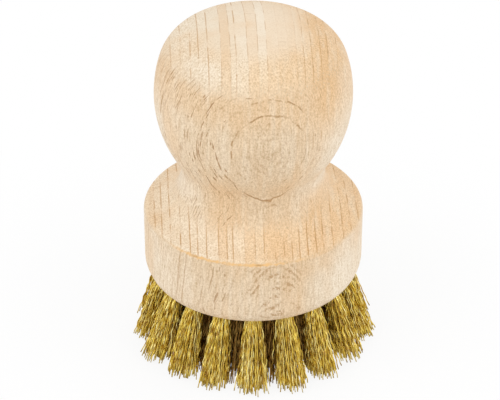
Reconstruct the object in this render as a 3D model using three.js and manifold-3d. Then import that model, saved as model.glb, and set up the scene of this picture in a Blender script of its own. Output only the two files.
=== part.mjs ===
// A palm brush for scrubbing grates and pots: a beech knob and plate turned from one piece,
// set with rings of crimped brass wire tufts. Each tuft is folded over a flat wire anchor
// that is driven edgewise across the bottom of its drilled hole.
// Millimetres, +Z up. The origin is on the axis, in the plane of the trimmed wire tips.
import * as THREE from "three";
import { mergeGeometries, mergeVertices } from "three/addons/utils/BufferGeometryUtils.js";
import Module from "manifold-3d";

// Plate of the handle
const plateRadius = 30;
const rimHeight = 18.65; // brush face to the top of the straight wall
const rimRound = 2;
const deckSlope = 12; // degrees that the top of the plate falls towards the rim
const heelRound = 6.5; // the wall turns under through this radius first
const heelTurn = 36; // degrees of that turn
const heelEdgeRound = 2; // then through this one, down to the brush face

// Neck and knob of the handle
const neckRadius = 19.5;
const coveRound = 10.5; // between the neck and the plate
const knobRadius = 26.4;
const flankRound = 34;
const shoulderLift = 10; // widest part of the knob to the start of its shoulder
const shoulderRound = 12.5;
const crownRound = 44.6;

// Rings of drilled holes, from the middle outwards
const rings = [
  { name: "inner", tufts: 4 },
  { name: "second", tufts: 9 },
  { name: "third", tufts: 14 },
  { name: "outer", tufts: 18 },
];
const holeRadius = 2.2;
const holeDepth = 9;
const edgeMargin = 0.4; // from the outer holes to the edge of the brush face
const fanHeight = 87; // every hole points at one spot on the axis, this far above the face

// Wire tufts, each drawn as a few thick strands
const wireReach = 20.9; // brush face to the trimmed tips
const strandsRoundTuft = 6; // and one in the middle
const strandRadius = 0.6;
const strandBends = 3;
const crimp = 0.4;
const faceSlice = 1.2; // slice of the plate that joins the tufts of one ring

// Flat wire anchors
const anchorLength = 5;
const anchorWidth = 1.8;
const anchorThickness = 0.4;
const foldThickness = 1.2; // wire folded over the top of the anchor

const fitGap = 0.3; // between one piece and the next

// Facets
const turnedSides = 42;
const arcStep = 15; // degrees, at most, between the points of a turned arc
const holeSides = 8;
const strandSides = 3;

const radians = THREE.MathUtils.degToRad;
const at = (x, y) => new THREE.Vector2(x, y);
const wasm = await Module();
wasm.setup();

const beech = new THREE.MeshStandardMaterial({ color: 0xe3c79f, roughness: 0.6, metalness: 0 });
const brass = new THREE.MeshStandardMaterial({ color: 0xb8922e, roughness: 0.35, metalness: 1 });
const steel = new THREE.MeshStandardMaterial({ color: 0xb0b0ac, roughness: 0.4, metalness: 1 });

// A closed surface as a solid that can be joined and cut
function solidFrom(geometry) {
  const bare = new THREE.BufferGeometry();
  bare.setAttribute("position", geometry.getAttribute("position"));
  bare.setIndex(geometry.getIndex());
  const merged = mergeVertices(bare);
  const corners = merged.getIndex().array;
  const triVerts = [];
  for (let i = 0; i < corners.length; i += 3) {
    const [a, b, c] = corners.slice(i, i + 3);
    if (a !== b && b !== c && c !== a) triVerts.push(a, b, c);
  }
  const vertProperties = merged.getAttribute("position").array;
  return new wasm.Manifold(
    new wasm.Mesh({ numProp: 3, vertProperties, triVerts: Uint32Array.from(triVerts) }),
  );
}

function geometryFrom(solid) {
  const { vertProperties, triVerts } = solid.getMesh();
  const geometry = new THREE.BufferGeometry();
  geometry.setAttribute("position", new THREE.BufferAttribute(vertProperties, 3));
  geometry.setIndex(new THREE.BufferAttribute(triVerts, 1));
  geometry.computeVertexNormals();
  return geometry;
}

// A turned solid: the outline is given as (radius, height) points from the bottom up
function turned(outline) {
  return new THREE.LatheGeometry(outline, turnedSides).rotateX(Math.PI / 2);
}

// Points on an arc, by the angle of its radius from the outward direction
function arc(centre, radius, from, to) {
  const steps = Math.ceil(Math.abs(to - from) / radians(arcStep));
  const points = [];
  for (let i = 0; i <= steps; i++) {
    const angle = from + ((to - from) * i) / steps;
    points.push(at(centre.x + radius * Math.cos(angle), centre.y + radius * Math.sin(angle)));
  }
  return points;
}

// Handle outline: tangent arcs from the brush face, at height 0, up to the crown
const heel = radians(heelTurn);
const deck = radians(deckSlope);
const faceRadius = plateRadius - heelRound + (heelRound - heelEdgeRound) * Math.cos(heel);

function handleOutline() {
  const heelEdgeCentre = at(faceRadius, heelEdgeRound);
  const heelCentre = at(
    plateRadius - heelRound,
    heelEdgeRound + (heelRound - heelEdgeRound) * Math.sin(heel),
  );
  const rimCentre = at(plateRadius - rimRound, rimHeight);
  const rimTop = rimCentre.x + rimRound * Math.sin(deck);
  const cove = Math.min(coveRound, (rimTop - neckRadius) / (1 - Math.sin(deck)));
  const coveX = neckRadius + cove;
  const coveFall = (coveX - rimCentre.x) * Math.tan(deck);
  const coveCentre = at(coveX, rimHeight + (rimRound + cove) / Math.cos(deck) - coveFall);
  const flankX = knobRadius - flankRound;
  const flankRise = Math.sqrt((flankRound + cove) ** 2 - (coveX - flankX) ** 2);
  const flankCentre = at(flankX, coveCentre.y + flankRise);
  const flankFoot = -Math.atan2(flankRise, coveX - flankX);
  const shoulder = Math.asin(shoulderLift / flankRound);
  const shoulderCentre = at(
    flankX + (flankRound - shoulderRound) * Math.cos(shoulder),
    flankCentre.y + (flankRound - shoulderRound) * Math.sin(shoulder),
  );
  const crown = Math.acos(shoulderCentre.x / (crownRound - shoulderRound));
  const crownCentre = at(0, shoulderCentre.y - (crownRound - shoulderRound) * Math.sin(crown));
  const seatFloor = faceSlice + fitGap;
  return [
    at(0, seatFloor),
    at(faceRadius, seatFloor),
    ...arc(heelEdgeCentre, heelEdgeRound, -Math.PI / 2, -heel),
    ...arc(heelCentre, heelRound, -heel, 0).slice(1),
    ...arc(rimCentre, rimRound, 0, Math.PI / 2 - deck),
    ...arc(coveCentre, cove, -Math.PI / 2 - deck, flankFoot - Math.PI),
    ...arc(flankCentre, flankRound, flankFoot, shoulder).slice(1),
    ...arc(shoulderCentre, shoulderRound, shoulder, crown).slice(1),
    ...arc(crownCentre, crownRound, crown, Math.PI / 2).slice(1),
  ];
}

// Where the tufts stand: rings evenly spaced over the brush face, turned by half a step
// from one ring to the next, with a tuft of the outer ring at the front
const ringSpacing = (faceRadius - edgeMargin - holeRadius) / rings.length;

function ringRadius(ring) {
  return ringSpacing * (ring + 1);
}

function tuftTurn(ring, index) {
  const step = (2 * Math.PI) / rings[ring].tufts;
  const stagger = (rings.length - 1 - ring) % 2 ? step / 2 : 0;
  return new THREE.Matrix4().makeRotationZ(step * index + stagger - Math.PI / 2);
}

// A hole's own frame stands on the brush face, with +Z up along the hole
function holeFrame(ring, index) {
  const lean = Math.atan2(ringRadius(ring), fanHeight);
  return tuftTurn(ring, index)
    .multiply(new THREE.Matrix4().makeTranslation(ringRadius(ring), 0, 0))
    .multiply(new THREE.Matrix4().makeRotationY(-lean));
}

function column(radius, from, to) {
  const geometry = new THREE.CylinderGeometry(radius, radius, to - from, holeSides);
  return geometry.rotateX(Math.PI / 2).translate(0, 0, (from + to) / 2);
}

function slab(thickness, length, from, to) {
  return new THREE.BoxGeometry(thickness, length, to - from).translate(0, 0, (from + to) / 2);
}

const anchorTop = holeDepth - fitGap - foldThickness - fitGap;
const anchorFoot = anchorTop - anchorWidth;
const anchorRoom = anchorThickness + 2 * fitGap;

// The drilled hole, with the groove that the ends of the anchor cut on their way in
function tuftPocket() {
  const hole = solidFrom(column(holeRadius, 0, holeDepth));
  const groove = slab(anchorRoom, anchorLength + 2 * fitGap, 0, anchorTop + fitGap);
  return geometryFrom(hole.add(solidFrom(groove)));
}

function handleGeometry() {
  const pocket = tuftPocket();
  let handle = solidFrom(turned(handleOutline()));
  rings.forEach(({ tufts }, ring) => {
    for (let i = 0; i < tufts; i++) {
      handle = handle.subtract(solidFrom(pocket.clone().applyMatrix4(holeFrame(ring, i))));
    }
  });
  return geometryFrom(handle);
}

// The wire inside a hole: two legs, and the fold that joins them over the anchor
function tuftRoot() {
  const bundle = solidFrom(column(holeRadius - fitGap, faceSlice / 2, holeDepth - fitGap));
  const window = slab(anchorRoom, 2 * holeRadius, anchorFoot - fitGap, anchorTop + fitGap);
  return geometryFrom(bundle.subtract(solidFrom(window)));
}

// One strand of a tuft that stands on the +X axis. It starts inside the face slice, zigzags
// a little, as crimped wire does, and is cut flat at the tip.
function strand(radius, rootOffset, tipOffset) {
  const positions = [];
  for (let bend = 0; bend <= strandBends; bend++) {
    const share = bend / strandBends;
    const depth = bend ? wireReach * share : -faceSlice / 2;
    const sway = bend && bend < strandBends ? crimp * (-1) ** bend : 0;
    const offset = rootOffset.clone().lerp(tipOffset, share);
    const x = radius * (1 + depth / fanHeight) + offset.x;
    const y = offset.y + sway;
    for (let side = 0; side < strandSides; side++) {
      const angle = (2 * Math.PI * side) / strandSides;
      positions.push(x + strandRadius * Math.cos(angle), y + strandRadius * Math.sin(angle), -depth);
    }
  }
  const index = [];
  for (let side = 0; side < strandSides; side++) {
    const next = (side + 1) % strandSides;
    for (let bend = 0; bend < strandBends; bend++) {
      const upper = bend * strandSides;
      const lower = upper + strandSides;
      index.push(upper + side, lower + side, lower + next);
      index.push(upper + side, lower + next, upper + next);
    }
  }
  const tip = strandBends * strandSides;
  for (let side = 1; side < strandSides - 1; side++) {
    index.push(0, side, side + 1);
    index.push(tip, tip + side + 1, tip + side);
  }
  const geometry = new THREE.BufferGeometry();
  geometry.setAttribute("position", new THREE.Float32BufferAttribute(positions, 3));
  return geometry.setIndex(index);
}

// The strands of one tuft fill its hole at the root, and spread until the tufts of
// neighbouring rings just miss each other at the tips
function tuftStrands(ring) {
  const rootGirdle = holeRadius - fitGap - strandRadius;
  const tipSpacing = ringSpacing * (1 + wireReach / fanHeight);
  const tipGirdle = (tipSpacing - fitGap) / 2 - strandRadius;
  const strands = [strand(ringRadius(ring), at(0, 0), at(0, 0))];
  for (let i = 0; i < strandsRoundTuft; i++) {
    const angle = (2 * Math.PI * i) / strandsRoundTuft;
    const way = at(Math.cos(angle), Math.sin(angle));
    const rootOffset = way.clone().multiplyScalar(rootGirdle);
    const tipOffset = way.clone().multiplyScalar(tipGirdle);
    strands.push(strand(ringRadius(ring), rootOffset, tipOffset));
  }
  return mergeGeometries(strands);
}

// The slice of the plate's face that carries one ring of tufts
function faceSliceRing(ring) {
  const halfBand = (ringSpacing - fitGap) / 2;
  const outermost = ring === rings.length - 1;
  const inside = ring ? ringRadius(ring) - halfBand : 0;
  const outside = outermost ? faceRadius - fitGap : ringRadius(ring) + halfBand;
  const outline = [at(inside, 0), at(outside, 0), at(outside, faceSlice), at(inside, faceSlice)];
  if (inside) outline.push(at(inside, 0));
  return solidFrom(turned(outline));
}

function tuftRingGeometry(ring) {
  const root = tuftRoot();
  const strands = tuftStrands(ring);
  let solid = faceSliceRing(ring);
  for (let i = 0; i < rings[ring].tufts; i++) {
    solid = solid
      .add(solidFrom(root.clone().applyMatrix4(holeFrame(ring, i))))
      .add(solidFrom(strands.clone().applyMatrix4(tuftTurn(ring, i))));
  }
  return geometryFrom(solid);
}

function named(name, geometry, material) {
  const mesh = new THREE.Mesh(geometry, material);
  mesh.name = name;
  return mesh;
}

// The brush, built about its face and stood on its wire tips
const brush = new THREE.Group();
const face = new THREE.Group();
face.position.z = wireReach;
brush.add(face);
face.add(named("turned_handle", handleGeometry(), beech));
const anchorGeometry = slab(anchorThickness, anchorLength, anchorFoot, anchorTop);
rings.forEach(({ name, tufts }, ring) => {
  face.add(named(`${name}_tuft_ring`, tuftRingGeometry(ring), brass));
  for (let i = 0; i < tufts; i++) {
    const anchor = named(`${name}_anchor_${i + 1}`, anchorGeometry, steel);
    anchor.applyMatrix4(holeFrame(ring, i));
    face.add(anchor);
  }
});

export default brush;
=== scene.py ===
# Palm brush: a turned beech knob and plate over fanned tufts of crimped brass wire
import math
from functools import partial

import bpy
from mathutils import Matrix, Vector


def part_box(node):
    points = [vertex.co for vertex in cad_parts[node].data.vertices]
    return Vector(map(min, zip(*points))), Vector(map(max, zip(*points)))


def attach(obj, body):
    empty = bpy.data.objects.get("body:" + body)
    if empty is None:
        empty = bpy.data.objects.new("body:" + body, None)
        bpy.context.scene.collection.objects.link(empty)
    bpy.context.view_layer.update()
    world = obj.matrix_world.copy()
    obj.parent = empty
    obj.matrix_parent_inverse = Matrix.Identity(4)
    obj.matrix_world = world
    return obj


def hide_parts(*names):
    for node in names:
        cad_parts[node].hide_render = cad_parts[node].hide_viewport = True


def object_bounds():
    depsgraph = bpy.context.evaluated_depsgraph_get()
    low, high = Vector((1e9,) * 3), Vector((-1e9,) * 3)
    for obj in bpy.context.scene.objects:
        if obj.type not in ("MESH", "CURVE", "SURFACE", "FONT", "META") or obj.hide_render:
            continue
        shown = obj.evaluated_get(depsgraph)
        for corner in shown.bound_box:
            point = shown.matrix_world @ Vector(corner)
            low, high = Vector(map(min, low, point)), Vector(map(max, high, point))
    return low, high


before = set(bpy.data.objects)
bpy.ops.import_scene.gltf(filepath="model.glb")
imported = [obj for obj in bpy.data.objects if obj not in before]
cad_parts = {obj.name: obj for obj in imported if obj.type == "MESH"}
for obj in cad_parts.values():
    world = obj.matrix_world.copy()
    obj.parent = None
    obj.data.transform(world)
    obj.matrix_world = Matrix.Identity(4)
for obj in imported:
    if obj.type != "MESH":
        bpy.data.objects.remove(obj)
cadLow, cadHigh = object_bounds()
mm = 0.001
fullTurn = 2 * math.pi
handleLow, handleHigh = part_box("turned_handle")
faceZ = handleLow.z  # the brush face, from which the handle and the tufts are measured
print("frame loaded, brush face at", round(faceZ / mm, 2), "mm")


# Node helpers

def feed(tree, node, values):  # an input takes another node's output, or a plain value
    for name, value in values.items():
        socket = node.inputs[name]
        if isinstance(value, bpy.types.NodeSocket):
            tree.links.new(value, socket)
        else:
            socket.default_value = value


def addNode(tree, kind, inputs=None, **settings):  # inputs go by name, or by number
    node = tree.nodes.new(kind)
    for name, value in settings.items():
        setattr(node, name, value)
    feed(tree, node, inputs or {})
    return node


def result(tree, kind, inputs=None, **settings):  # a new node's first output
    return addNode(tree, kind, inputs, **settings).outputs[0]


def calc(tree, operation, *values):
    return result(tree, "ShaderNodeMath", dict(enumerate(values)), operation=operation)


def sums(tree, *operations):  # short functions for the sums of one tree
    return [partial(calc, tree, operation) for operation in operations]


def ramp(tree, value, low, high, toLow=0.0, toHigh=1.0):  # smooth step between two values
    inputs = dict(enumerate((value, low, high, toLow, toHigh)))
    return result(tree, "ShaderNodeMapRange", inputs, interpolation_type="SMOOTHSTEP")


def vector(tree, *values):
    return result(tree, "ShaderNodeCombineXYZ", dict(enumerate(values)))


def split(tree, socket):
    return addNode(tree, "ShaderNodeSeparateXYZ", {0: socket}).outputs


def mixColour(tree, factor, first, second, blend="MIX"):
    inputs = {"Factor": factor, 6: first, 7: second}
    return addNode(tree, "ShaderNodeMix", inputs, data_type="RGBA", blend_type=blend).outputs[2]


def noise(tree, at, scale=1.0, detail=1, roughness=0.5):
    inputs = {"Vector": at, "Scale": scale, "Detail": detail, "Roughness": roughness}
    return addNode(tree, "ShaderNodeTexNoise", inputs).outputs["Fac"]


def newGroup(kind, name, inputs, outputs):  # a node group, whose sockets are listed under their types
    tree = bpy.data.node_groups.new(name, kind + "NodeTree")
    for way, sockets in (("INPUT", inputs), ("OUTPUT", outputs)):
        for sort, names in sockets.items():
            for title in names:
                tree.interface.new_socket(name=title, in_out=way, socket_type="NodeSocket" + sort)
    return tree, addNode(tree, "NodeGroupInput").outputs, addNode(tree, "NodeGroupOutput")


def linear(red, green, blue):  # a colour as read off a screen, 0 to 255, for a shader socket
    def channel(value):
        value /= 255
        return value / 12.92 if value <= 0.04045 else ((value + 0.055) / 1.055) ** 2.4
    return (channel(red), channel(green), channel(blue), 1.0)


def newMaterial(name):
    material = bpy.data.materials.new(name)
    material.use_nodes = True
    tree = material.node_tree
    tree.nodes.clear()
    shader = addNode(tree, "ShaderNodeBsdfPrincipled")
    addNode(tree, "ShaderNodeOutputMaterial", {"Surface": shader.outputs[0]})
    return material, tree, shader


def newObject(name, data):
    thing = bpy.data.objects.new(name, data)
    bpy.context.scene.collection.objects.link(thing)
    return thing


def settle(piece):  # turns what the modifiers make into the piece's own plain mesh
    graph = bpy.context.evaluated_depsgraph_get()
    made = bpy.data.meshes.new_from_object(piece.evaluated_get(graph), depsgraph=graph)
    piece.modifiers.clear()
    piece.data = made
    made.name = piece.name
    return made


def nodesModifier(piece, tree, values):  # inputs are set by identifier before the first evaluation
    modifier = piece.modifiers.new(tree.name, "NODES")
    modifier.node_group = tree
    inputs = [item for item in tree.interface.items_tree if item.in_out == "INPUT"]
    identifiers = {item.name: item.identifier for item in inputs}
    for name, value in values.items():
        modifier[identifiers[name]] = value


# Beech: growth rings round a far pith, rays from front to back, pores along the fibres

beech = {
    "fibre": Vector((0.028, -0.051, 1.0)),
    "ringsFace": Vector((0.057, -1.0, 0.0)),  # growth rings bulge towards the front
    "quarterAside": 0.12,  # how far the middle between the two paler sides is turned to the left
    "pithBehind": 400.0,  # mm, as all lengths here
    "pithAside": 76.4,  # to the left at the floor
    "pithLean": -0.458,  # sideways run of the pith for each mm up, so the rings close on the knob
    "ringSpacing": 1.55,
    "ringShift": 0.59,
    "ringBend": 0.7,  # how far a ring strays, slowly and over short stretches
    "ringWobble": 0.6,
    "waistSwell": 1.2,  # the rings run further down over the waist
    "leastSlope": 0.03,  # square of the least slope, where the surface lies along a ring
    "darkYear": 14.5,  # the dark rings come in pairs, and a pair's middle is this many years out
    "darkEvery": 10.0,  # years from one pair to the next
    "finePerYear": 5.0,
    "showFrom": 51.0,  # moves the stretches where a ring shows well
    "raySpacing": 2.4,
    "rayBend": 1.2,
    "rayRandomness": 0.85,
    "dashPatches": 0.2,  # how unevenly the dashes are spread
    "dashesLeft": 0.004,  # how much denser they get for each mm leftwards
    "poreRoughness": 0.6,
    "speckTint": (0.75, 1.0, 1.4),  # dark specks are redder than light ones
    "body": linear(227, 202, 169),
    "pale": linear(240, 224, 200),
    "warm": linear(228, 186, 134),
    "endTone": linear(238, 212, 177),
    "quarterTone": linear(236, 219, 195),
    # painted sheen: the paler colour of the top, smooth from sanding
    "crownSheen": linear(243, 229, 208),
    "ringLine": linear(178, 136, 88),
    "rayLine": linear(194, 148, 94),
    "fleck": linear(168, 126, 82),
    "burnish": linear(238, 192, 130),
    "cells": {  # size of a noise cell leftwards, outwards and along the fibres
        "ringBend": (16, 16, 30),
        "ringWobble": (3.5, 3.5, 6),
        "ringShown": (6, 6, 7),
        "ringCrumbs": (1.8, 2.4, 3.0),
        "fineShown": (4, 5, 5),
        "fineCrumbs": (0.6, 0.9, 0.9),
        "rayBend": (9, 40, 40),
        "rayFade": (3, 5, 8),
        "dashPatches": (9, 9, 16),
        "shortDash": (0.38, 3.0, 3.4),  # dashes: across the rings, leftwards and along the fibres
        "longDash": (0.36, 5.0, 8.0),
        "hairline": (0.3, 0.5, 9.0),
        "pores": (0.16, 0.16, 1.1),
        "grit": (0.38, 0.5, 0.5),
        "fibres": (0.42, 0.42, 3.5),
        "tint": (13, 13, 34),
        "streak": (1.4, 6, 40),
    },
    "steps": {  # smooth steps: from, to, and what comes out at each end where that isn't 0 and 1
        "endGrain": (0.35, 0.8),
        "quarter": (0.42, 0.95),
        "crown": (62.0, 78.0),  # heights are above the floor
        "waistTop": (63.0, 56.5),
        "waistFoot": (43.0, 49.0),
        "ringLine": (0.068, 0.34, 1.0, 0.0),
        "ringBold": (0.55, 1.0, 0.25, 1.0),
        "ringShown": (0.4, 0.56, 0.1, 1.0),
        "ringCrumbs": (0.44, 0.56, 0.06, 1.0),
        "clearBelow": (60.0, 57.0),
        "clearLeft": (-10.0, -4.0),  # places to the left of the axis
        "fineLine": (0.1, 0.4, 1.0, 0.0),
        "fineSlope": (0.18, 0.36, 1.0, 0.0),
        "fineShown": (0.4, 0.54),
        "fineCrumbs": (0.42, 0.58, 0.1, 1.0),
        "fineHeight": (38.0, 48.0, 0.8, 0.35),
        "ringsLeft": (-17.0, -5.0, 0.2, 1.0),
        "ringsOnEnd": (0.0, 1.0, 1.0, 0.15),
        "coveFoot": (41.0, 44.0),
        "coveTop": (54.5, 52.0),
        "ringsInCove": (0.0, 1.0, 1.0, 0.1),
        "rayLine": (0.025, 0.09, 1.0, 0.0),
        "rayFade": (0.37, 0.57, 0.1, 1.0),
        "rayTone": (0.15, 0.6),
        "rayLeast": (45.0, 60.0, 0.75, 0.15),
        "raysOnCrown": (0.0, 1.0, 1.0, 0.8),
        "shortDash": (0.71, 0.76),
        "longDash": (0.72, 0.77),
        "dashSlope": (0.25, 0.5),
        "hairline": (0.6, 0.72),
        "streakyRight": (-6.0, -16.0),
        "streakyAbove": (58.0, 64.0),
        "calmFacing": (0.25, 0.65),
        "calmBelow": (44.0, 40.0),
        "torn": (0.58, 0.74),
        "glint": (0.42, 0.28),
        "tint": (0.42, 0.7, 0.0, 0.4),
        "streak": (0.45, 0.75, 0.0, 0.35),
        "upperFacing": (-0.25, 0.35),
        "aboveWall": (33.0, 39.0),
        "onWall": (39.0, 33.0),
        "redderRight": (-5.0, -18.0),
        "redderOnCrown": (0.0, 1.0, 0.85, 1.2),
        "redderEdge": (-15.0, -23.0),
        "shoulderLow": (0.08, 0.25),
        "shoulderHigh": (0.65, 0.4),
        "shoulderLeft": (-16.0, -6.0),
        "palerLeft": (0.0, 16.0),
        "palerOnCrown": (0.0, 1.0, 0.75, 1.0),
        "sandedGrit": (0.0, 1.0, 1.0, 0.3),
        "roughness": (0.3, 0.7, 0.68, 0.54),
    },
    "shares": {  # how strongly each thing counts
        "quarterDashes": 0.75,
        "quarterHairlines": 0.7,
        "streaky": 3.2,
        "calmHairlines": 0.8,
        "calmDashes": 0.75,
        "calmRings": 0.5,
        "tornTurning": 0.8,
        "tornAll": 0.35,
        "glintTurning": 0.5,
        "glintAll": 0.2,
        "redderEdge": 0.6,
        # painted light from the floor: how much paler the lower wall is, on its quartered sides and
        # elsewhere
        "bounceLitSides": 0.8,
        "bounceLitWall": 0.25,
        "redder": 0.8,
        "shoulder": 0.3,
        "paler": 0.8,
        "paleStrips": 0.5,
        "warmStrips": 0.6,
        "hairlines": 0.22,
        "rays": 0.85,
        "rings": 0.9,
        "dashes": 0.85,
        "torn": 0.35,
        "grit": 0.85,
        "fibres": 0.5,
        "pores": 0.2,
        "cuts": 0.7,
    },
}


def beechGrainGroup():
    tree, given, groupOut = newGroup("Shader", "beechGrain", {
        "Vector": ("Grain Place", "Grain Facing"),  # place in mm and normal: leftwards, outwards, along
        "Float": ("Sanded Sheen",),
    }, {"Color": ("Color",), "Float": ("Roughness", "Height")})
    plus, minus, times, over = sums(tree, "ADD", "SUBTRACT", "MULTIPLY", "DIVIDE")
    size, larger, root, whole = sums(tree, "ABSOLUTE", "MAXIMUM", "SQRT", "ROUND")
    share = beech["shares"]
    sandedSheen = given["Sanded Sheen"]
    left, out, along = split(tree, given["Grain Place"])
    facingLeft, facingOut, facingAlong = split(tree, given["Grain Facing"])

    def squared(value):
        return calc(tree, "POWER", value, 2.0)

    def step(name, value):
        return ramp(tree, value, *beech["steps"][name])

    def faded(value, mask, amount):  # less of a value under a mask
        return times(value, minus(1.0, times(mask, amount)))

    def centred(value, amount):
        return times(minus(value, 0.5), amount)

    def cellNoise(name, detail=1, places=(left, out, along), roughness=0.5):
        cells = beech["cells"][name]
        at = vector(tree, *(over(place, cell) for place, cell in zip(places, cells)))
        return noise(tree, at, detail=detail, roughness=roughness)

    endGrain = step("endGrain", size(facingAlong))
    sideGrain = minus(1.0, endGrain)
    quarter = step("quarter", size(minus(facingLeft, beech["quarterAside"])))
    crown = step("crown", along)

    # growth rings: distance from the pith with a slow wander, and a thin line at the end of each year
    aside = minus(left, plus(times(along, beech["pithLean"]), beech["pithAside"]))
    fromPith = plus(out, beech["pithBehind"])
    growth = minus(root(plus(squared(aside), squared(fromPith))), beech["pithBehind"])
    growth = plus(growth, centred(cellNoise("ringBend"), beech["ringBend"]))
    growth = plus(growth, centred(cellNoise("ringWobble", detail=2), beech["ringWobble"]))
    waist = times(step("waistTop", along), step("waistFoot", along))
    growth = plus(growth, times(waist, beech["waistSwell"]))
    # how fast the rings go by across the surface, which is slow where it lies along them
    lean = over(aside, fromPith)
    climb = times(lean, -beech["pithLean"])
    steep = plus(plus(1.0, squared(lean)), squared(climb))
    into = plus(plus(facingOut, times(facingLeft, lean)), times(facingAlong, climb))
    into = over(squared(into), steep)
    slope = root(larger(minus(1.0, into), beech["leastSlope"]))
    years = over(plus(growth, beech["ringShift"]), beech["ringSpacing"])
    year = whole(years)
    offRing = times(size(minus(years, year)), beech["ringSpacing"])
    ringLine = step("ringLine", over(offRing, slope))  # from mm on the surface
    sinceDark = over(minus(year, beech["darkYear"]), beech["darkEvery"])
    boldness = step("ringBold", calc(tree, "COSINE", times(sinceDark, fullTurn)))
    shownAt = (plus(left, beech["showFrom"]), out, along)
    shown = step("ringShown", cellNoise("ringShown", places=shownAt))
    crumbs = step("ringCrumbs", cellNoise("ringCrumbs", detail=2))
    clear = times(step("clearBelow", along), step("clearLeft", left))  # unbroken where a ring closes
    ringMask = times(times(ringLine, boldness), times(larger(shown, clear), larger(crumbs, clear)))
    # finer lines within a year, which only show where the surface lies along the rings
    fineAt = times(years, beech["finePerYear"])
    offFine = size(minus(fineAt, whole(fineAt)))
    fineLine = times(step("fineLine", offFine), step("fineSlope", slope))
    fineShown = step("fineShown", cellNoise("fineShown"))
    fineCrumbs = step("fineCrumbs", cellNoise("fineCrumbs"))
    fineMask = times(times(fineLine, fineShown), times(fineCrumbs, sideGrain))
    ringMask = larger(ringMask, times(fineMask, step("fineHeight", along)))
    ringMask = times(ringMask, step("ringsLeft", left))
    ringMask = times(ringMask, step("ringsOnEnd", endGrain))
    cove = times(step("coveFoot", along), step("coveTop", along))
    ringMask = times(ringMask, step("ringsInCove", cove))

    # rays: thin upright sheets, which are long lines on end grain
    rayAt = plus(left, centred(cellNoise("rayBend", detail=2), beech["rayBend"]))
    rayAt = over(rayAt, beech["raySpacing"])

    def rayCells(feature):  # irregular steps from one ray to the next
        inputs = {"W": rayAt, "Scale": 1.0, "Randomness": beech["rayRandomness"]}
        kind = {"voronoi_dimensions": "1D", "feature": feature}
        return addNode(tree, "ShaderNodeTexVoronoi", inputs, **kind).outputs

    rayLine = step("rayLine", rayCells("DISTANCE_TO_EDGE")["Distance"])
    rayFade = step("rayFade", cellNoise("rayFade"))
    # one random number for each strip between rays
    rayTone = result(tree, "ShaderNodeSeparateColor", {0: rayCells("F1")["Color"]})
    rayShown = ramp(tree, rayTone, *beech["steps"]["rayTone"], step("rayLeast", along))
    rayMask = times(times(rayLine, rayFade), times(endGrain, rayShown))
    rayMask = times(rayMask, step("raysOnCrown", crown))
    stripTone = times(centred(rayTone, 1.0), endGrain)

    # vessels: short dark dashes that lie along the rings, more of them to the left
    patch = plus(centred(cellNoise("dashPatches"), beech["dashPatches"]), times(left, beech["dashesLeft"]))
    alongRings = (growth, left, along)
    shortDash = plus(cellNoise("shortDash", places=alongRings), patch)
    longDash = plus(cellNoise("longDash", places=alongRings), patch)
    dashMask = larger(step("shortDash", shortDash), step("longDash", longDash))
    dashMask = times(times(dashMask, sideGrain), step("dashSlope", slope))
    dashMask = faded(dashMask, quarter, share["quarterDashes"])
    hairline = step("hairline", cellNoise("hairline"))
    hairline = faded(hairline, quarter, share["quarterHairlines"])
    streaky = times(times(step("streakyRight", left), share["streaky"]), step("streakyAbove", along))
    # plainer at the left of the wall
    calm = times(step("calmFacing", facingLeft), step("calmBelow", along))
    hairline = times(faded(hairline, calm, share["calmHairlines"]), plus(1.0, streaky))
    dashMask = faded(dashMask, calm, share["calmDashes"])
    ringMask = faded(ringMask, calm, share["calmRings"])

    # pores, grit left from sanding, torn fibres where side grain turns to end grain, and painted glints:
    # light specks on the torn fibre
    pores = cellNoise("pores", detail=2, roughness=beech["poreRoughness"])
    grit = cellNoise("grit")
    fibres = cellNoise("fibres")
    turning = times(times(endGrain, sideGrain), 4.0)  # 1 halfway
    torn = times(step("torn", grit), plus(times(turning, share["tornTurning"]), share["tornAll"]))
    glint = times(step("glint", grit), plus(times(turning, share["glintTurning"]), share["glintAll"]))

    # slow changes of colour: redder to the right, golden at the knob's shoulder, paler to the left, and
    # paler low on the wall, which is painted light from the floor
    tint = step("tint", cellNoise("tint", detail=2))
    streak = step("streak", cellNoise("streak", detail=2))
    upper = times(step("upperFacing", facingAlong), step("aboveWall", along))
    redder = times(step("redderRight", left), upper)
    redder = times(redder, step("redderOnCrown", crown))
    redder = faded(redder, step("redderEdge", left), share["redderEdge"])
    shoulder = times(step("shoulderLow", facingAlong), step("shoulderHigh", facingAlong))
    shoulder = times(times(shoulder, crown), step("shoulderLeft", left))
    wall = step("onWall", along)
    paler = times(times(step("palerLeft", left), endGrain), step("palerOnCrown", crown))
    # painted light: the lower wall is paler, as if lit from the floor, most on its quartered sides
    paler = larger(paler, times(times(wall, quarter), share["bounceLitSides"]))
    paler = larger(paler, times(times(wall, sideGrain), share["bounceLitWall"]))

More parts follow.
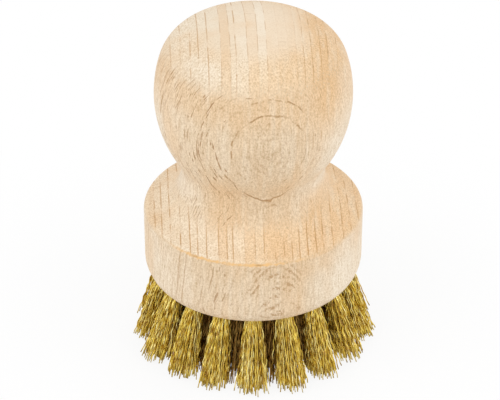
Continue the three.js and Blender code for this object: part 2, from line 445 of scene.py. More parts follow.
    colour = mixColour(tree, times(quarter, sideGrain), beech["body"], beech["quarterTone"])
    layers = (
        (endGrain, "endTone"),
        # painted sheen: the top, smooth from sanding, is paler
        (sandedSheen, "crownSheen"),
        (times(redder, share["redder"]), "warm"),
        (times(shoulder, share["shoulder"]), "warm"),
        (times(paler, share["paler"]), "pale"),
        (tint, "warm"),
        (streak, "pale"),
        (larger(times(stripTone, share["paleStrips"]), 0.0), "pale"),
        (larger(times(stripTone, -share["warmStrips"]), 0.0), "warm"),
        (times(times(hairline, sideGrain), share["hairlines"]), "rayLine"),
        (times(rayMask, share["rays"]), "rayLine"),
        (times(ringMask, share["rings"]), "ringLine"),
        (times(dashMask, share["dashes"]), "fleck"),
        (times(torn, share["torn"]), "fleck"),
        (glint, "pale"),
    )
    for mask, tone in layers:
        colour = mixColour(tree, mask, colour, beech[tone])
    coarse = plus(centred(grit, share["grit"]), centred(fibres, share["fibres"]))
    coarse = times(coarse, step("sandedGrit", sandedSheen))
    speck = plus(coarse, centred(pores, share["pores"]))
    tinted = vector(tree, *(plus(times(speck, amount), 1.0) for amount in beech["speckTint"]))
    colour = mixColour(tree, 1.0, colour, tinted, "MULTIPLY")

    cuts = larger(larger(dashMask, torn), larger(ringMask, rayMask))
    feed(tree, groupOut, {
        "Color": colour,
        "Roughness": step("roughness", pores),
        "Height": minus(pores, times(cuts, share["cuts"])),
    })
    return tree


def placeGrain(tree, grain):  # object coordinates and normals turned to the grain
    along = beech["fibre"].normalized()
    out = (beech["ringsFace"] - along * beech["ringsFace"].dot(along)).normalized()
    left = out.cross(along)
    turn = Matrix((left, out, along)).to_euler()
    place = addNode(tree, "ShaderNodeTexCoord").outputs
    wood = addNode(tree, "ShaderNodeGroup", node_tree=grain)
    for source, target, scale in (("Object", "Grain Place", 1 / mm), ("Normal", "Grain Facing", 1.0)):
        inputs = {"Vector": place[source], "Rotation": turn, "Scale": (scale,) * 3}
        feed(tree, wood, {target: result(tree, "ShaderNodeMapping", inputs, vector_type="POINT")})
    return place["Object"], wood


woodFinish = {  # lengths in mm, noise scales for each mm
    "specular": 0.3,
    "sandedSheenFrom": 4.5,  # the very top is smooth from sanding and paler with a painted sheen, which fades out between these depths
    "sandedSheenFull": 0.8,
    "sandedSheen": 0.9,
    "edgeTurn": 28.0,  # degrees round the plate's top edge, where the tool burnished it
    "edgeScale": 0.9,
    "edgeStray": 1.5,
    "edgeWidth": (0.05, 0.6, 0.95, 0.0),  # from, to, and how strong at each
    "patchScale": 0.13,
    "patches": (0.38, 0.56, 0.05, 1.0),
    "burnishedLeft": (-24.0, -15.0),  # only the middle is burnished, from left to right
    "burnishedRight": (17.0, 9.0),
    "scorchScale": 0.45,
    "scorch": (0.5, 0.62),
    "scorchWidth": (0.0, 0.35, 0.7, 0.0),
    "turnedBump": (0.12, 0.1),  # strength, depth
    "drilledBump": (0.4, 0.15),
    "drilledScale": 0.9,
    "drilledScorch": (0.3, 0.7, 0.35, 0.7),
    "drilledRoughness": 0.8,
}


def finishWood(tree, shader, wood, bumpStrength, bumpDepth):
    bump = {"Strength": bumpStrength, "Distance": bumpDepth * mm, "Height": wood.outputs["Height"]}
    feed(tree, shader, {
        "Normal": result(tree, "ShaderNodeBump", bump),
        "Specular IOR Level": woodFinish["specular"],
    })


def turnedBeech(grain):
    material, tree, shader = newMaterial("turnedBeech")
    plus, minus, times, root = sums(tree, "ADD", "SUBTRACT", "MULTIPLY", "SQRT")
    place, wood = placeGrain(tree, grain)
    x, y, z = split(tree, place)

    def lengthStep(name, value):  # a smooth step between two lengths
        low, high, *ends = woodFinish[name]
        return ramp(tree, value, low * mm, high * mm, *ends)

    def patchy(name, detail=2):
        return noise(tree, place, scale=woodFinish[name] / mm, detail=detail)

    def squared(value):
        return calc(tree, "POWER", value, 2.0)

    sandedSheenFrom = handleHigh.z - woodFinish["sandedSheenFrom"] * mm
    sandedSheenFull = handleHigh.z - woodFinish["sandedSheenFull"] * mm
    feed(tree, wood, {"Sanded Sheen": ramp(tree, z, sandedSheenFrom, sandedSheenFull, 0.0, woodFinish["sandedSheen"])})
    # distance from the line round the top edge of the plate
    edgeTurn = math.radians(woodFinish["edgeTurn"])
    edgeRadius = (handle["plateRadius"] - handle["rimRound"] * (1 - math.cos(edgeTurn))) * mm
    edgeZ = faceZ + (handle["rimHeight"] + handle["rimRound"] * math.sin(edgeTurn)) * mm
    reach = root(plus(squared(x), squared(y)))
    offEdge = root(plus(squared(minus(reach, edgeRadius)), squared(minus(z, edgeZ))))
    stray = minus(patchy("edgeScale"), 0.5)
    offEdge = plus(offEdge, times(stray, woodFinish["edgeStray"] * mm))
    middle = times(lengthStep("burnishedLeft", x), lengthStep("burnishedRight", x))
    patches = times(ramp(tree, patchy("patchScale", detail=1), *woodFinish["patches"]), middle)
    edge = times(lengthStep("edgeWidth", offEdge), patches)
    colour = mixColour(tree, edge, wood.outputs["Color"], beech["burnish"])
    scorched = ramp(tree, patchy("scorchScale"), *woodFinish["scorch"])
    scorched = times(times(scorched, lengthStep("scorchWidth", offEdge)), patches)
    colour = mixColour(tree, scorched, colour, beech["ringLine"])
    feed(tree, shader, {"Base Color": colour, "Roughness": wood.outputs["Roughness"]})
    finishWood(tree, shader, wood, *woodFinish["turnedBump"])
    return material


def drilledBeech(grain):  # the rough wall of a hole
    material, tree, shader = newMaterial("drilledBeech")
    place, wood = placeGrain(tree, grain)
    scorch = noise(tree, place, scale=woodFinish["drilledScale"] / mm, detail=3)
    scorch = ramp(tree, scorch, *woodFinish["drilledScorch"])
    colour = mixColour(tree, scorch, wood.outputs["Color"], beech["fleck"])
    feed(tree, shader, {"Base Color": colour, "Roughness": woodFinish["drilledRoughness"]})
    finishWood(tree, shader, wood, *woodFinish["drilledBump"])
    return material


# Brass wire and anchors

metalMottle = {
    "detail": 3,
    "roughness": 0.6,
    "patches": (0.4, 0.68),  # from, to
}

brassWire = {
    # bright: the colour of the highest tones, partly painted highlight on the bends
    "bright": linear(247, 232, 158),
    "plain": linear(240, 213, 100),
    "dull": linear(182, 148, 50),
    "innerShade": linear(168, 131, 75),  # painted shade: the darker colour that the lowest tones get, which the inner wires have
    "cutEnd": linear(104, 86, 52),
    "edge": linear(244, 186, 60),  # where the light grazes a wire
    "brightFrom": (0.4, 0.85),  # a wire's tone: from, to, and how strong at each
    "dullFrom": (0.05, 0.5, 0.9, 0.0),
    "innerShadeFrom": (0.1, 0.2, 0.8, 0.0),
    "endShare": 0.6,
    "patchSize": 3.0,  # mm
    "tarnish": 0.5,
    "roughness": 0.46,
    "tarnishRoughness": 0.15,
    "brightPolish": 0.15,
}

anchorWire = {
    "clean": linear(190, 190, 186),
    "worn": linear(150, 146, 138),
    "patchSize": 0.8,  # mm
    "roughness": (0.32, 0.5),  # clean, worn
}


def metalMottleGroup():  # patches of tarnish on drawn metal
    tree, given, groupOut = newGroup("Shader", "metalMottle", {
        "Vector": ("Place",),
        "Float": ("Patch Size",),
    }, {"Float": ("Tarnish",)})
    scale = {0: given["Place"], "Scale": calc(tree, "DIVIDE", 1 / mm, given["Patch Size"])}
    at = result(tree, "ShaderNodeVectorMath", scale, operation="SCALE")
    patches = noise(tree, at, detail=metalMottle["detail"], roughness=metalMottle["roughness"])
    feed(tree, groupOut, {"Tarnish": ramp(tree, patches, *metalMottle["patches"])})
    return tree


def tarnishOn(tree, mottle, patchSize):
    place = addNode(tree, "ShaderNodeTexCoord").outputs["Object"]
    return result(tree, "ShaderNodeGroup", {"Place": place, "Patch Size": patchSize}, node_tree=mottle)


def crimpedBrass(mottle):
    material, tree, shader = newMaterial("crimpedBrass")
    plus, minus, times = sums(tree, "ADD", "SUBTRACT", "MULTIPLY")
    tarnish = tarnishOn(tree, mottle, brassWire["patchSize"])
    tone = addNode(tree, "ShaderNodeAttribute", attribute_name="wireTone").outputs["Fac"]
    end = addNode(tree, "ShaderNodeAttribute", attribute_name="wireEnd").outputs["Fac"]
    # high tones, from a wire's own tone and the painted highlight on its bends, take the bright colour
    bright = ramp(tree, tone, *brassWire["brightFrom"])
    colour = mixColour(tree, bright, brassWire["plain"], brassWire["bright"])
    # tarnish and a low tone make a wire dull; the inner wires' low tones also take the darker colour below,
    # as painted shade
    dull = plus(times(tarnish, brassWire["tarnish"]), ramp(tree, tone, *brassWire["dullFrom"]))
    colour = mixColour(tree, dull, colour, brassWire["dull"])
    colour = mixColour(tree, ramp(tree, tone, *brassWire["innerShadeFrom"]), colour, brassWire["innerShade"])
    colour = mixColour(tree, times(end, brassWire["endShare"]), colour, brassWire["cutEnd"])
    rough = plus(brassWire["roughness"], times(tarnish, brassWire["tarnishRoughness"]))
    feed(tree, shader, {
        "Base Color": colour,
        "Metallic": 1.0,
        "Specular Tint": brassWire["edge"],
        "Roughness": minus(rough, times(tone, brassWire["brightPolish"])),
    })
    return material


def anchorSteel(mottle):
    material, tree, shader = newMaterial("anchorSteel")
    tarnish = tarnishOn(tree, mottle, anchorWire["patchSize"])
    feed(tree, shader, {
        "Base Color": mixColour(tree, tarnish, anchorWire["clean"], anchorWire["worn"]),
        "Metallic": 1.0,
        "Roughness": ramp(tree, tarnish, 0.0, 1.0, *anchorWire["roughness"]),
    })
    return material


# Handle: the same tangent arcs as the solid, in mm above the brush face

handle = {
    "plateRadius": 30.0,
    "rimHeight": 18.65,
    "rimRound": 2.0,
    "deckSlope": 12.0,  # degrees
    "heelRound": 6.5,
    "heelTurn": 36.0,  # degrees
    "heelEdgeRound": 2.0,
    "neckRadius": 19.5,
    "coveRound": 10.5,
    "knobRadius": 26.4,
    "flankRound": 34.0,
    "shoulderLift": 10.0,
    "shoulderRound": 12.5,
    "crownRound": 44.6,
    "sides": 288,
    "arcStep": 2.0,  # degrees
    "sharpAngle": 35.0,  # degrees, from which an edge is shaded sharp
}
heelTurn = math.radians(handle["heelTurn"])
heelDrop = handle["heelRound"] - handle["heelEdgeRound"]
faceRadius = handle["plateRadius"] - handle["heelRound"] + heelDrop * math.cos(heelTurn)


def arcPoints(centre, radius, start, end):
    steps = max(2, math.ceil(abs(end - start) / math.radians(handle["arcStep"])))
    angles = [start + (end - start) * i / steps for i in range(steps + 1)]
    return [(centre[0] + radius * math.cos(a), centre[1] + radius * math.sin(a)) for a in angles]


def handleOutline():
    h = handle
    deck = math.radians(h["deckSlope"])
    heelEdge = (faceRadius, h["heelEdgeRound"])
    heel = (h["plateRadius"] - h["heelRound"], h["heelEdgeRound"] + heelDrop * math.sin(heelTurn))
    rim = (h["plateRadius"] - h["rimRound"], h["rimHeight"])
    coveX = h["neckRadius"] + h["coveRound"]
    coveRise = (h["rimRound"] + h["coveRound"]) / math.cos(deck)
    coveZ = h["rimHeight"] + coveRise - (coveX - rim[0]) * math.tan(deck)
    flankX = h["knobRadius"] - h["flankRound"]
    flankRise = math.sqrt((h["flankRound"] + h["coveRound"]) ** 2 - (coveX - flankX) ** 2)
    flankFoot = -math.atan2(flankRise, coveX - flankX)
    flankZ = coveZ + flankRise
    shoulderTurn = math.asin(h["shoulderLift"] / h["flankRound"])
    inset = h["flankRound"] - h["shoulderRound"]
    shoulder = (flankX + inset * math.cos(shoulderTurn), flankZ + inset * math.sin(shoulderTurn))
    crownInset = h["crownRound"] - h["shoulderRound"]
    crownTurn = math.acos(shoulder[0] / crownInset)
    crown = (0.0, shoulder[1] - crownInset * math.sin(crownTurn))
    quarter = math.pi / 2
    return [
        *arcPoints(heelEdge, h["heelEdgeRound"], -quarter, -heelTurn),
        *arcPoints(heel, h["heelRound"], -heelTurn, 0)[1:],
        *arcPoints(rim, h["rimRound"], 0, quarter - deck),
        *arcPoints((coveX, coveZ), h["coveRound"], -quarter - deck, flankFoot - math.pi),
        *arcPoints((flankX, flankZ), h["flankRound"], flankFoot, shoulderTurn)[1:],
        *arcPoints(shoulder, h["shoulderRound"], shoulderTurn, crownTurn)[1:],
        *arcPoints(crown, h["crownRound"], crownTurn, quarter)[1:-1],
    ], crown[1] + h["crownRound"]


def handleMesh():
    outline, crownZ = handleOutline()
    sides = handle["sides"]
    verts = []
    for radius, height in outline:
        for i in range(sides):
            angle = fullTurn * i / sides
            x, y = radius * math.cos(angle), radius * math.sin(angle)
            verts.append((x * mm, y * mm, faceZ + height * mm))
    top = len(verts)
    verts.append((0.0, 0.0, faceZ + crownZ * mm))
    faces = [list(reversed(range(sides)))]  # the flat brush face
    for row in range(len(outline) - 1):
        for i in range(sides):
            j = (i + 1) % sides
            low, high = row * sides, (row + 1) * sides
            faces.append((low + i, low + j, high + j, high + i))
    last = (len(outline) - 1) * sides
    faces += [(last + i, last + (i + 1) % sides, top) for i in range(sides)]
    mesh = bpy.data.meshes.new("turnedHandle")
    mesh.from_pydata(verts, [], faces)
    mesh.polygons.foreach_set("use_smooth", [True] * len(faces))
    return mesh


# Tufts: rings of holes that all point at one spot on the axis

tufts = {  # lengths in mm
    "perRing": (4, 9, 14, 18),
    "rings": ("inner", "second", "third", "outer"),
    "holeRadius": 2.2,
    "holeDepth": 9.0,
    "edgeMargin": 0.4,  # wood left outside the outer holes
    "fanHeight": 87.0,  # from the brush face up to the spot
    "holeSides": 28,
}
ringSpacing = (faceRadius - tufts["edgeMargin"] - tufts["holeRadius"]) / len(tufts["perRing"])


def ringPlace(ring):  # where the holes and wires of a ring start, and how high they would meet
    stagger = (len(tufts["perRing"]) - 1 - ring) % 2  # half a step to the next ring, an outer tuft in front
    return {
        "Turn": stagger * math.pi / tufts["perRing"][ring] - math.pi / 2,
        "Ring Radius": ringSpacing * (ring + 1) * mm,
        "Fan Height": tufts["fanHeight"] * mm,
        "Face Height": faceZ,
    }


def drilledHolesTree():  # cuts one ring of leaning holes out of the handle
    tree, size, groupOut = newGroup("Geometry", "drilledHoles", {
        "Geometry": ("Handle",),
        "Int": ("Holes", "Hole Sides"),
        "Float": ("Turn", "Ring Radius", "Fan Height", "Face Height", "Hole Radius", "Hole Depth"),
        "Material": ("Wall Material",),
    }, {"Geometry": ("Handle",)})
    plus, times, over = sums(tree, "ADD", "MULTIPLY", "DIVIDE")
    index = result(tree, "GeometryNodeInputIndex")
    angle = plus(over(times(index, fullTurn), size["Holes"]), size["Turn"])
    radius = size["Ring Radius"]
    x = times(radius, calc(tree, "COSINE", angle))
    y = times(radius, calc(tree, "SINE", angle))
    spots = result(tree, "GeometryNodePoints", {
        "Count": size["Holes"],
        "Position": vector(tree, x, y, size["Face Height"]),
    })
    drill = result(tree, "GeometryNodeMeshCylinder", {
        "Vertices": size["Hole Sides"],
        "Radius": size["Hole Radius"],
        "Depth": times(size["Hole Depth"], 2.0),  # half of it stands below the face
    })
    walls = result(tree, "GeometryNodeSetMaterial", {"Geometry": drill, "Material": size["Wall Material"]})
    lean = calc(tree, "ARCTAN2", radius, size["Fan Height"])
    tilt = result(tree, "FunctionNodeEulerToRotation", {0: vector(tree, 0.0, times(lean, -1.0), angle)})
    copies = {"Points": spots, "Instance": walls, "Rotation": tilt}
    copies = result(tree, "GeometryNodeInstanceOnPoints", copies)
    cutters = result(tree, "GeometryNodeRealizeInstances", {0: copies})
    meshes = {"Mesh 1": size["Handle"], "Mesh 2": cutters}
    cut = result(tree, "GeometryNodeMeshBoolean", meshes, operation="DIFFERENCE", solver="EXACT")
    feed(tree, groupOut, {"Handle": result(tree, "GeometryNodeRealizeInstances", {0: cut})})
    return tree


def makeHandle(wood, holeWall):
    piece = newObject("beechHandle", handleMesh())
    piece.data.materials.append(wood)
    tree = drilledHolesTree()
    for ring, count in enumerate(tufts["perRing"]):
        nodesModifier(piece, tree, {
            **ringPlace(ring),
            "Holes": count,
            "Hole Sides": tufts["holeSides"],
            "Hole Radius": tufts["holeRadius"] * mm,
            "Hole Depth": tufts["holeDepth"] * mm,
            "Wall Material": holeWall,
        })
    mesh = settle(piece)
    mesh.set_sharp_from_angle(angle=math.radians(handle["sharpAngle"]))
    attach(piece, "root")
    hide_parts("turned_handle")
    print("handle turned:", len(mesh.polygons), "faces")


# Wires: each one runs from inside its hole to the trimmed tips, in zigzag crimps

wires = {
    "perTuft": (70, 70, 130, 180),  # for each ring, from the middle out
    "steps": (16, 16, 20, 24),  # along a wire
    "litShare": (0.1, 0.1, 0.12, 1.0),  # painted shade: the inner wires' tones are held low, so they come out darker, as if shaded inside the brush
    "sides": 4,
    "trianglesPerPiece": 160000,
    "lengths": {  # mm, and one for each ring where they differ
        "Wire Radius": 0.145,
        "Root Depth": 2.0,  # inside the hole
        "Root Girdle": (1.95, 1.95, 1.8, 2.0),
        "Spring": (0.5, 0.5, 0.4, 0.5),  # how far a tuft opens as it leaves its hole
        "Tip Girdle": (4.0, 4.0, 5.0, 4.4),
        "Crimp": 0.25,
        "Crimp Pitch": 3.5,
        "Sway": 0.5,  # how far a whole tuft leans by its tips
        "Wander": 0.3,  # how far a wire leans out of its place by its tip
        "Stray": 3.0,  # how far the few wires that bend away get
        "Lean": (0.0, 0.0, 1.6, 0.0),  # how much further out the tips are than the holes point
        "Back Lean": (0.0, 0.0, 0.0, -1.6),  # what the tufts of the back half add to that
        "Ragged": (1.8, 1.8, 1.0, 1.8),  # the shortest wires end this far above the trim
        "End Length": 1.6,  # the cut ends are duller
    },
    "springBy": 0.35,  # share of the way to the tips
    "turnPerWire": 2.39996,  # the golden angle, so the wires pack evenly
    "turnPerTuft": 1.7,
    "spinJitter": 0.25,
    "packJitter": (0.88, 1.06),
    "openJitter": (0.85, 1.2),  # some tufts open more than others
    "crimpSharpness": 0.97,  # 1 is a pure zigzag
    "crimpFrom": 0.1,  # share of the way to the tips
    "wornTips": (0.75, 1.0, 1.0, 0.3),  # the crimps flatten along this last part
    "phaseDrift": 0.9,  # radians by which the crimps of a tuft are out of step
    "tuftDrift": (0.8, 2.6),  # times this, from tuft to tuft
    "tuftPlane": 0.6,  # radians by which the plane of the crimps turns, for a tuft and for a wire
    "planeDrift": 1.3,
    "twist": 0.75,  # radians for each mm at most, so the glints are short
    "strayPower": 8.0,  # higher for fewer strays
    "raggedPower": 0.7,
    "backFrom": (-0.1, 0.15),  # sine of a tuft's angle
    "wireTone": 0.4,  # how much wires differ in tone, and how much painted highlight the bends of one wire get
    "bendGlint": 0.6,
    "bendsPerWire": 100.0,  # more than a wire has, so each bend of each wire has its own number
    "endPinch": 0.6,
    "seed": 11,
    "seedStep": 20,  # from one ring to the next
}


def crimpedTuftsTree():
    tree, size, groupOut = newGroup("Geometry", "crimpedTufts", {
        "Geometry": ("Start",),
        "Int": ("Tufts", "First Tuft", "Ring Tufts", "Wires Per Tuft", "Steps", "Sides", "Seed"),
        "Float": ("Turn", "Ring Radius", "Fan Height", "Face Height", "Lit Share", "Phase Drift", "Plane Drift",
                  "Twist", *wires["lengths"]),
        "Material": ("Material",),
    }, {"Geometry": ("Wires",)})
    plus, minus, times, over = sums(tree, "ADD", "SUBTRACT", "MULTIPLY", "DIVIDE")
    power, floor = sums(tree, "POWER", "FLOOR")

    # one straight line for each wire, which keeps the wire's number
    line = result(tree, "GeometryNodeCurvePrimitiveLine")
    line = result(tree, "GeometryNodeResampleCurve", {"Curve": line, "Count": plus(size["Steps"], 1.0)})
    spots = result(tree, "GeometryNodePoints", {"Count": times(size["Tufts"], size["Wires Per Tuft"])})
    index = result(tree, "GeometryNodeInputIndex")
    keep = addNode(tree, "GeometryNodeCaptureAttribute")
    keep.capture_items.new("INT", "Wire")
    feed(tree, keep, {0: spots, 1: plus(index, times(size["First Tuft"], size["Wires Per Tuft"]))})
    copies = result(tree, "GeometryNodeInstanceOnPoints", {"Points": keep.outputs[0], "Instance": line})
    lines = result(tree, "GeometryNodeRealizeInstances", {0: copies})
    wire = keep.outputs[1]
    tuft = floor(over(plus(wire, 0.5), size["Wires Per Tuft"]))
    number = minus(wire, times(tuft, size["Wires Per Tuft"]))

    def chance(low, high, draw, each=wire):  # one random number for each wire, or for each tuft or bend
        inputs = {2: low, 3: high, "ID": each, "Seed": plus(size["Seed"], float(draw))}
        return addNode(tree, "FunctionNodeRandomValue", inputs, data_type="FLOAT").outputs[1]

    # depth below the face, from inside the hole to a ragged trim
    share = addNode(tree, "GeometryNodeSplineParameter").outputs["Factor"]
    short = times(power(chance(0, 1, 1), wires["raggedPower"]), size["Ragged"])
    short = plus(short, times(size["Wire Radius"], 0.5))
    run = minus(plus(size["Face Height"], size["Root Depth"]), short)
    depth = minus(times(share, run), size["Root Depth"])
    below = over(calc(tree, "MAXIMUM", depth, 0.0), size["Face Height"])  # 1 at the tips

    # place in the bundle: a sunflower packing with a little jitter, which opens towards the tips
    spin = plus(times(number, wires["turnPerWire"]), times(tuft, wires["turnPerTuft"]))
    spin = plus(spin, chance(-wires["spinJitter"], wires["spinJitter"], 2))
    packed = calc(tree, "SQRT", over(plus(number, 0.5), size["Wires Per Tuft"]))
    packed = times(packed, chance(*wires["packJitter"], 3))
    opening = minus(minus(size["Tip Girdle"], size["Root Girdle"]), size["Spring"])
    opening = times(opening, chance(*wires["openJitter"], 13, tuft))
    girdle = plus(size["Root Girdle"], times(size["Spring"], ramp(tree, below, 0.0, wires["springBy"])))
    spread = times(packed, plus(girdle, times(opening, below)))
    sway = times(size["Sway"], below)
    axisX = times(size["Ring Radius"], plus(1.0, over(depth, size["Fan Height"])))

    # crimps, which nearly line up within a tuft, and a few strays that bend away
    wave = over(times(depth, fullTurn), size["Crimp Pitch"])
    drift = times(size["Phase Drift"], chance(*wires["tuftDrift"], 16, tuft))
    wave = plus(plus(wave, chance(0, fullTurn, 4, tuft)), times(chance(-1, 1, 5), drift))
    zigzag = calc(tree, "ARCSINE", times(calc(tree, "SINE", wave), wires["crimpSharpness"]))
    zigzag = times(zigzag, 2 / math.pi)
    crimp = times(times(zigzag, size["Crimp"]), ramp(tree, below, 0.0, wires["crimpFrom"]))
    crimp = times(crimp, ramp(tree, below, *wires["wornTips"]))
    plane = chance(-wires["tuftPlane"], wires["tuftPlane"], 12, tuft)
    plane = plus(plane, times(chance(-1, 1, 6), size["Plane Drift"]))
    lost = times(power(chance(0, 1, 7), wires["strayPower"]), size["Stray"])
    lost = times(lost, power(below, 2.0))
    lost = plus(lost, times(times(chance(0, 1, 11), size["Wander"]), below))
    wayOff = chance(0, fullTurn, 8)

    def sideways(axis):
        offset = times(spread, calc(tree, axis, spin))
        offset = plus(offset, times(crimp, calc(tree, axis, plane)))
        return plus(offset, times(lost, calc(tree, axis, wayOff)))

    # the tuft's own place in its ring
    turn = plus(size["Turn"], over(times(tuft, fullTurn), size["Ring Tufts"]))
    cosine = calc(tree, "COSINE", turn)
    sine = calc(tree, "SINE", turn)
    lean = plus(size["Lean"], times(size["Back Lean"], ramp(tree, sine, *wires["backFrom"])))
    tipShift = plus(times(sway, chance(-1, 1, 14, tuft)), times(lean, below))
    x = plus(plus(axisX, sideways("COSINE")), tipShift)
    y = plus(sideways("SINE"), times(sway, chance(-1, 1, 15, tuft)))
    worldX = minus(times(x, cosine), times(y, sine))
    worldY = plus(times(x, sine), times(y, cosine))
    place = vector(tree, worldX, worldY, minus(size["Face Height"], depth))
    lines = result(tree, "GeometryNodeSetPosition", {"Geometry": lines, "Position": place})

    def store(geometry, name, value):
        inputs = {"Geometry": geometry, "Name": name, "Value": value}
        return result(tree, "GeometryNodeStoreNamedAttribute", inputs, data_type="FLOAT", domain="POINT")

    # a tone for each wire, with a painted highlight for each bend and painted shade on the inner rings, and
    # a mark on its cut end
    bend = floor(plus(over(wave, math.pi), 0.5))
    bend = plus(bend, times(wire, wires["bendsPerWire"]))
    tone = plus(chance(0.0, wires["wireTone"], 9), chance(0.0, wires["bendGlint"], 10, bend))
    lines = store(lines, "wireTone", times(tone, size["Lit Share"]))
    toEnd = over(times(minus(1.0, share), run), size["End Length"])
    lines = store(lines, "wireEnd", ramp(tree, toEnd, 0.0, 1.0, 1.0, 0.0))

    # a thin section with flat sides, twisted at random, closed at both ends and pinched where it was cut
    pinch = ramp(tree, toEnd, 0.0, 1.0, wires["endPinch"], 1.0)
    lines = result(tree, "GeometryNodeSetCurveRadius", {"Curve": lines, "Radius": pinch})
    twist = times(times(depth, size["Twist"]), chance(-1, 1, 18))
    tilt = plus(chance(0, math.pi, 17), twist)
    lines = result(tree, "GeometryNodeSetCurveTilt", {"Curve": lines, "Tilt": tilt})
    sizes = {"Resolution": size["Sides"], "Radius": size["Wire Radius"]}
    section = result(tree, "GeometryNodeCurvePrimitiveCircle", sizes)
    curves = {"Curve": lines, "Profile Curve": section, "Fill Caps": True}
    skin = result(tree, "GeometryNodeCurveToMesh", curves)
    skin = result(tree, "GeometryNodeSetShadeSmooth", {"Geometry": skin, "Shade Smooth": False})
    skin = result(tree, "GeometryNodeRealizeInstances", {0: skin})
    skin = result(tree, "GeometryNodeSetMaterial", {"Geometry": skin, "Material": size["Material"]})
    feed(tree, groupOut, {"Wires": skin})
    return tree


def makeWires(brass):
    tree = crimpedTuftsTree()
    for ring, count in enumerate(tufts["perRing"]):
        ringName = tufts["rings"][ring]
        values = {
            **ringPlace(ring),
            "Ring Tufts": count,
            "Wires Per Tuft": wires["perTuft"][ring],
            "Steps": wires["steps"][ring],
            "Sides": wires["sides"],
            "Seed": wires["seed"] + wires["seedStep"] * ring,
            "Lit Share": wires["litShare"][ring],
            "Phase Drift": wires["phaseDrift"],
            "Plane Drift": wires["planeDrift"],
            "Twist": wires["twist"] / mm,
            "Material": brass,
        }
        for name, length in wires["lengths"].items():
            values[name] = (length[ring] if isinstance(length, tuple) else length) * mm
        triangles = count * values["Wires Per Tuft"] * values["Steps"] * wires["sides"] * 2
        pieces = math.ceil(triangles / wires["trianglesPerPiece"])
        for number in range(pieces):
            values["First Tuft"] = count * number // pieces
            values["Tufts"] = count * (number + 1) // pieces - values["First Tuft"]
            piece = newObject(ringName + "Wires" + str(number + 1), bpy.data.meshes.new("wires"))
            nodesModifier(piece, tree, values)
            mesh = settle(piece)
            mesh.calc_loop_triangles()
            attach(piece, "root")
            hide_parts(ringName + "_tuft_ring")
            print(piece.name, "set:", len(mesh.loop_triangles), "triangles")


def dressAnchors(steel):  # the anchors stay as they are, deep in their holes
    for name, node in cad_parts.items():
        if "_anchor_" in name:
            node.data.materials.clear()
            node.data.materials.append(steel)
    print("anchors dressed")


# Studio: a white floor that keeps the shadow, and large soft lights at the left, the right and behind

studio = {  # metres, watts
    "floor": linear(246, 246, 246),
    "floorRoughness": 0.9,
    "floorSize": 6.0,
    "whiteNear": 0.88,  # how much of the floor is plain white to the camera, near the brush and far off
    "whiteFar": 1.0,
    "nearRadius": 0.035,
    "farRadius": 0.12,
    "underRadius": 0.018,  # the floor is dark under the brush
    "edgeRadius": 0.024,
    "shadeRadius": 0.022,  # and so is a wider spot in a mirror
    "clearRadius": 0.031,
    "world": 0.79,
    "key": {"at": (-0.74, -0.44, 0.66), "size": 1.0, "power": 4.1},
    "fill": {"at": (0.8, -0.36, 0.6), "size": 1.0, "power": 3.6},
    "back": {"at": (0.2, 0.9, 0.7), "size": 0.8, "power": 1.6},
}


def whiteSeen(tree, byCamera=1.0, byMirror=1.0):  # how white the camera, and a mirror or glass, see it
    rays = addNode(tree, "ShaderNodeLightPath")
    mirrored = calc(tree, "MAXIMUM", rays.outputs["Is Glossy Ray"], rays.outputs["Is Transmission Ray"])
    direct = calc(tree, "MULTIPLY", rays.outputs["Is Camera Ray"], byCamera)
    return calc(tree, "MAXIMUM", direct, calc(tree, "MULTIPLY", mirrored, byMirror))


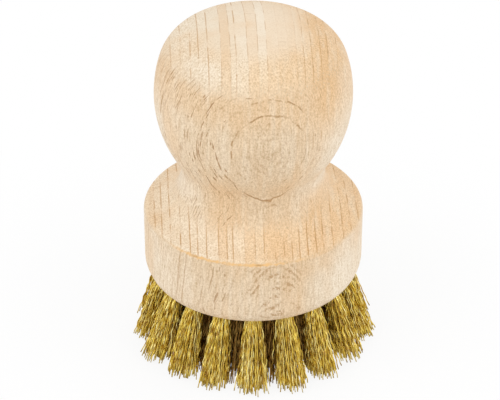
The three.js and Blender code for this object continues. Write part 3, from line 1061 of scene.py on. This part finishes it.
def makeFloor():
    half = studio["floorSize"] / 2
    corners = [(-half, -half, 0), (half, -half, 0), (half, half, 0), (-half, half, 0)]
    mesh = bpy.data.meshes.new("floor")
    mesh.from_pydata(corners, [], [(0, 1, 2, 3)])
    floor = newObject("floor", mesh)
    material, tree, shader = newMaterial("floorWhite")
    feed(tree, shader, {"Base Color": studio["floor"], "Roughness": studio["floorRoughness"]})
    place = addNode(tree, "ShaderNodeTexCoord").outputs["Object"]
    away = addNode(tree, "ShaderNodeVectorMath", {0: place}, operation="LENGTH")
    radius = away.outputs["Value"]

    def between(low, high, *ends):
        return ramp(tree, radius, studio[low], studio[high], *ends)

    direct = between("nearRadius", "farRadius", studio["whiteNear"], studio["whiteFar"])
    direct = calc(tree, "MULTIPLY", direct, between("underRadius", "edgeRadius"))
    mirrored = between("shadeRadius", "clearRadius")
    white = result(tree, "ShaderNodeEmission")
    shades = {0: whiteSeen(tree, direct, mirrored), 1: shader.outputs[0], 2: white}
    output = next(node for node in tree.nodes if node.type == "OUTPUT_MATERIAL")
    feed(tree, output, {"Surface": result(tree, "ShaderNodeMixShader", shades)})
    mesh.materials.append(material)


def makeWorld():
    world = bpy.data.worlds.new("studio")
    bpy.context.scene.world = world
    world.use_nodes = True
    tree = world.node_tree
    tree.nodes.clear()
    strength = ramp(tree, whiteSeen(tree), 0.0, 1.0, studio["world"], 1.0)
    sky = result(tree, "ShaderNodeBackground", {"Strength": strength})
    addNode(tree, "ShaderNodeOutputWorld", {"Surface": sky})


def makeLights():
    aim = Vector((0.0, 0.0, (cadLow.z + cadHigh.z) / 2))
    for name in ("key", "fill", "back"):
        lamp = studio[name]
        light = bpy.data.lights.new(name, "AREA")
        light.shape = "DISK"
        light.size = lamp["size"]
        light.energy = lamp["power"]
        holder = newObject(name, light)
        holder.location = lamp["at"]
        holder.rotation_euler = (aim - holder.location).to_track_quat("-Z", "Y").to_euler()


# Camera: fitted to the outline of the wood in the photograph

camera = {  # metres
    "distance": 0.6,
    "elevation": 33.34,  # degrees
    "aim": Vector((-0.0009, 0.0, 0.04148)),
    "focalPixels": 2193.2,
    "imageWidth": 500,
    "sensorWidth": 36.0,  # mm
}


def makeCamera():
    data = bpy.data.cameras.new("camera")
    data.sensor_width = camera["sensorWidth"]
    data.lens = data.sensor_width * camera["focalPixels"] / camera["imageWidth"]
    holder = newObject("camera", data)
    tilt = math.radians(camera["elevation"])
    back = Vector((0.0, -math.cos(tilt), math.sin(tilt)))
    holder.location = camera["aim"] + back * camera["distance"]
    holder.rotation_euler = (-back).to_track_quat("-Z", "Y").to_euler()
    bpy.context.scene.camera = holder


makeCamera()
makeFloor()
makeWorld()
makeLights()
bpy.context.scene.view_settings.view_transform = "Standard"
print("studio ready")

grain = beechGrainGroup()
mottle = metalMottleGroup()
makeHandle(turnedBeech(grain), drilledBeech(grain))
makeWires(crimpedBrass(mottle))
dressAnchors(anchorSteel(mottle))
